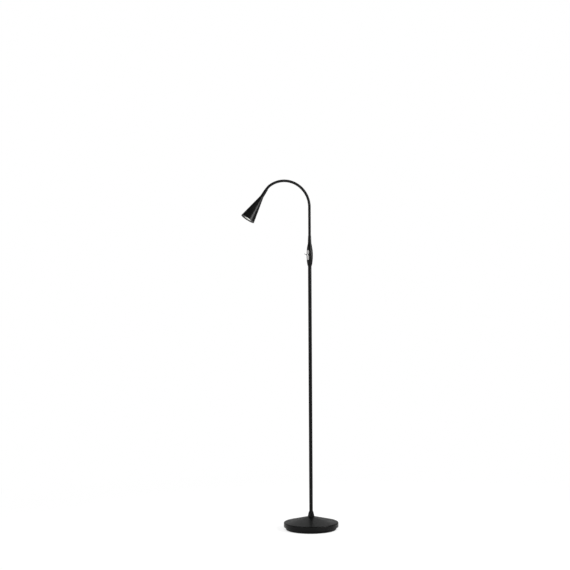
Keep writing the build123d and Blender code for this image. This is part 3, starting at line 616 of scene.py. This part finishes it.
def nutGrid():
    # outside: the smaller of the hexagon's radius, apothem / cos(angle from the flat's middle),
    # and a cone at each face
    apothem, bore, chamfer = toggle["nutAcross"] / 2, toggle["nutBore"], toggle["nutChamfer"]
    angle = fullTurn(toggle["nutAround"])
    hexagon = apothem / np.cos((angle + np.pi / 6) % (np.pi / 3) - np.pi / 6)
    share = np.sin(np.linspace(-np.pi / 2, np.pi / 2, toggle["nutRows"]))[:, None] * 0.5 + 0.5
    depth = np.minimum(share * toggle["footBevel"], 1 - share) * toggle["nutHeight"]
    outside = np.minimum(hexagon, toggle["bevelFrom"] * apothem + toggle["bevelSlope"] * depth)
    height = toggle["face"] + share * toggle["nutHeight"]
    foot, top = height[0, 0], height[-1, 0]
    inner = np.array([[bore + chamfer, top], [bore, top - chamfer], [bore, foot]])
    return joinedGrid(angle, outside, height, inner)


def leverGrid():
    # radius: the larger of the ball's circle and the stem, which swells smoothly from waist to tip
    # and ends in a half circle
    tilt = toggle["leverTilt"]
    line = toggleOut * np.cos(tilt) + upright * np.sin(tilt)
    length, tip = toggle["leverLength"], toggle["leverTip"]
    ease = np.sin(np.linspace(0.0, np.pi / 2, toggle["tipRows"])[1:])
    stemRows = np.linspace(-toggle["tail"], length - tip, toggle["leverRows"])
    along = np.concatenate([stemRows, length - tip + tip * toggle["tipShare"] * ease])
    swell = np.clip((along - toggle["ball"]) / (length - tip - toggle["ball"]), 0.0, 1.0)
    stem = toggle["leverWaist"] + (tip - toggle["leverWaist"]) * swell * swell * (3 - 2 * swell)
    stem = np.where(along < 0, toggle["tailRadius"], stem)
    rounded = np.sqrt(np.maximum(tip ** 2 - np.maximum(along - length + tip, 0.0) ** 2, 0.0))
    circle = np.sqrt(np.maximum(toggle["ball"] ** 2 - along ** 2, 0.0))
    radius = np.maximum(np.minimum(stem, rounded), circle)[:, None]
    start = toggleStart + toggleOut * toggle["pivot"]
    return aroundLine(radius, along[:, None], start, line, fullTurn(toggle["leverAround"]))


def makeToggle():
    bushing = surfacePiece("toggleBushing", bushingGrid(), ringClosed=True)
    nut = surfacePiece("toggleNut", nutGrid(), ringClosed=True)
    lever = surfacePiece("toggleLever", leverGrid(), caps=(True, True))
    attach(dress(bushing, "bright_metal", "toggle_bushing"), "base")
    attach(dress(nut, "bright_metal", "toggle_nut"), "base")
    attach(dress(lever, "bright_metal", "toggle_lever"), "toggle")


makeToggle()
print("toggle: made bushing, nut and lever")


# finish of the lens: frosted white with shallow rings round the head's axis
lens = dict(
    dark=(0.66, 0.665, 0.62, 1.0), light=(0.74, 0.745, 0.70, 1.0), rough=0.30, swing=0.2,
    ringPitch=0.0012, frost=0.0005, ringShare=0.5, depth=0.00006, strength=0.5,
)


def lensFinish():
    material, graph = surfaceGraph("lens_whiteFinish")
    offset = graph.add("ShaderNodeVectorMath", {"operation": "SUBTRACT"}, {0: graph.place(), 1: tuple(headStart)})
    lever = graph.add("ShaderNodeVectorMath", {"operation": "CROSS_PRODUCT"}, {0: offset, 1: tuple(headLine)})
    fromAxis = graph.add("ShaderNodeVectorMath", {"operation": "LENGTH"}, {0: lever}, "Value")
    rings = fromAxis.math("SINE", fromAxis * (2 * np.pi / lens["ringPitch"]))
    frost = graph.noise(lens["frost"], 2.0)
    colour = graph.tint(frost, lens["dark"], lens["light"])
    height = rings * lens["ringShare"] + frost * (1 - lens["ringShare"])
    closeSurface(
        graph, Base_Color=colour, Roughness=lens["rough"] + frost * lens["swing"], Metallic=0.0,
        Normal=graph.bump(height, lens["depth"], lens["strength"]),
    )
    return material


finishes["lens_white"] = lensFinish()


# finish of the light source: yellow phosphor with a speckle
phosphor = dict(
    dark=(0.78, 0.52, 0.06, 1.0), light=(0.90, 0.68, 0.14, 1.0), rough=0.35, swing=0.3,
    speckle=0.0006, depth=0.00005, strength=0.5,
)


def phosphorFinish():
    material, graph = surfaceGraph("phosphorFinish")
    speckle = graph.noise(phosphor["speckle"], 3.0)
    colour = graph.tint(speckle, phosphor["dark"], phosphor["light"])
    closeSurface(
        graph, Base_Color=colour, Roughness=phosphor["rough"] + speckle * phosphor["swing"], Metallic=0.0,
        Normal=graph.bump(speckle, phosphor["depth"], phosphor["strength"]),
    )
    return material


finishes["phosphor"] = phosphorFinish()

for node in frame["nodes"].values():
    node.material_slots[0].material = finishes[node.material_slots[0].material.name]
print("finishes:", len(finishes), "on", len(frame["nodes"]), "nodes")


# studio: pale floor that turns into the white surround with distance, soft lamps, white world
studio = {
    "floorReach": 14.0,
    "floorFrom": 0.02,  # the smallest ring, as the root of its share of the reach
    "floorRows": 40,
    "floorAround": 96,
    "floorPale": 0.90,
    "mottleSize": 0.7,
    "mottle": 0.01,
    "shadowKept": 0.25,  # share of the shadow that stays beside the base
    "footEdge": 92.5 * mm,  # under the foot the whole shadow stays
    "footInset": 2.0 * mm,
    "footFade": 3.0 * mm,
    "fadeFrom": 0.5,
    "fadeTo": 1.6,
    "ambient": 0.55,
    "lamps": [
        # name, place, aim, width, height, power, seen in gloss
        ("overhead", (-0.5, -0.6, 3.4), (0.0, 0.0, 0.3), 2.6, 2.6, 58.0, False),
        ("bandLamp", (1.45, -1.45, 1.50), (-0.15, 0.0, 1.15), 0.48, 0.95, 60.0, True),
        ("leftLamp", (-2.2, -1.18, 0.95), (0.0, 0.0, 0.85), 1.2, 1.0, 12.0, True),
    ],
    "flagRadius": 3.0,
    "flagRows": 12,
    "flagColumns": 40,
    "feltGrain": 0.02,
    "feltSwing": 0.1,
    "lidHeight": 3.0,
    "lidFrom": 0.05,
    "lidColumns": 60,
    "lidGrey": 0.08,
    "flags": [
        # start and end in degrees round the pole, from the camera's side towards the picture's right; foot, top, grey
        (40.0, 150.0, 0.0, 3.0, 0.06),
        (150.0, 210.0, 0.0, 0.6, 0.08),
        (150.0, 210.0, 1.25, 1.75, 0.08),
        (-150.0, -140.0, 0.0, 1.40, 0.06),
        (-150.0, -40.0, 1.40, 3.0, 0.03),
        (-40.0, 40.0, 0.0, 3.0, 0.20),
    ],
}


def makeFloor():
    material, graph = surfaceGraph("paleFloor")
    fromPole = graph.add("ShaderNodeVectorMath", {"operation": "LENGTH"}, {0: graph.place()}, "Value")
    near = graph.noise(studio["mottleSize"], 2.0)
    far = ((fromPole - studio["fadeFrom"]) / (studio["fadeTo"] - studio["fadeFrom"])).clip()
    far = far * far * (3.0 - 2.0 * far)
    level = studio["floorPale"]
    pale = graph.tint(near, grey(level - studio["mottle"]), grey(level + studio["mottle"]))
    matt = graph.add("ShaderNodeBsdfDiffuse", None, {"Color": pale})
    white = graph.add("ShaderNodeEmission", None, {"Color": grey(1.0), "Strength": 1.0})
    beside = ((fromPole - studio["footEdge"] + studio["footInset"]) / studio["footFade"]).clip()
    lifted = beside * (1.0 - studio["shadowKept"] * (1.0 - far))
    mixed = graph.add("ShaderNodeMixShader", None, {0: graph.seen() * lifted, 1: matt, 2: white})
    graph.add("ShaderNodeOutputMaterial", None, {"Surface": mixed})
    # rings of a flat disc, radius growing as the square of the row's share
    radius = np.linspace(studio["floorFrom"], 1.0, studio["floorRows"])[:, None] ** 2 * studio["floorReach"]
    angle = fullTurn(studio["floorAround"])
    grid = np.stack([radius * np.cos(angle), radius * np.sin(angle), np.zeros_like(radius * angle)], -1)
    floor = surfacePiece("floor", grid, caps=(True, False))
    floor.data.materials.append(material)


def makeWorld():
    world = bpy.data.worlds.new("studioWorld")
    world.use_nodes = True
    bpy.context.scene.world = world
    graph = Graph(world.node_tree)
    soft = graph.add("ShaderNodeBackground", None, {"Color": grey(1.0), "Strength": studio["ambient"]})
    white = graph.add("ShaderNodeBackground", None, {"Color": grey(1.0), "Strength": 1.0})
    mixed = graph.add("ShaderNodeMixShader", None, {0: graph.seen(), 1: soft, 2: white})
    graph.add("ShaderNodeOutputWorld", None, {"Surface": mixed})


def makeLamps():
    for name, place, aim, width, height, power, inGloss in studio["lamps"]:
        data = bpy.data.lights.new(name, "AREA")
        data.shape, data.size, data.size_y, data.energy = "RECTANGLE", width, height, power
        lamp = bpy.data.objects.new(name, data)
        back = unit(np.array(place) - np.array(aim))
        right = unit(np.cross(upright, back))
        axes = np.eye(4)
        axes[:3, :] = np.stack([right, np.cross(back, right), back, np.array(place)], 1)
        lamp.matrix_world = Matrix(axes.tolist())
        lamp.visible_camera, lamp.visible_glossy = False, inGloss
        bpy.context.scene.collection.objects.link(lamp)


# felt flags that only gloss sees: upright strips of a cylinder round the pole, and a flat lid
def feltFinish(name, level):
    material, graph = surfaceGraph(name)
    swing = studio["feltSwing"]
    fibres = graph.noise(studio["feltGrain"], 2.0)
    colour = graph.tint(fibres, grey(level * (1 - swing)), grey(level * (1 + swing)))
    matt = graph.add("ShaderNodeBsdfDiffuse", None, {"Color": colour})
    graph.add("ShaderNodeOutputMaterial", None, {"Surface": matt})
    return material


def hangFlag(name, grid, level):
    index = np.arange(grid[..., 0].size).reshape(grid.shape[:2])
    flag = meshPiece(name, grid.reshape(-1, 3), gridQuads(index), np.zeros((0, 3), int))
    flag.data.materials.append(feltFinish(name + "Felt", level))
    flag.visible_camera = flag.visible_diffuse = flag.visible_transmission = flag.visible_shadow = False


def roundPole(angle):
    # level direction from the pole, 0 towards the camera's side at rest
    return viewSide * np.sin(angle) - viewAhead * np.cos(angle)


def makeFlags():
    radius, rows = studio["flagRadius"], studio["flagRows"]
    for number, (start, stop, foot, top, level) in enumerate(studio["flags"]):
        angle = np.radians(np.linspace(start, stop, studio["flagColumns"]))[None, :, None]
        height = np.linspace(foot, top, rows)[:, None, None] * upright
        hangFlag(f"flag_{number}", radius * roundPole(angle) + height, level)
    share = np.linspace(studio["lidFrom"], 1.0, rows)[:, None, None] * radius
    angle = np.linspace(-np.pi, np.pi, studio["lidColumns"])[None, :, None]
    hangFlag("flagLid", share * roundPole(angle) + upright * studio["lidHeight"], studio["lidGrey"])


makeFloor()
makeWorld()
makeLamps()
makeFlags()
print("studio: floor, world and", len(studio["lamps"]), "lamps")
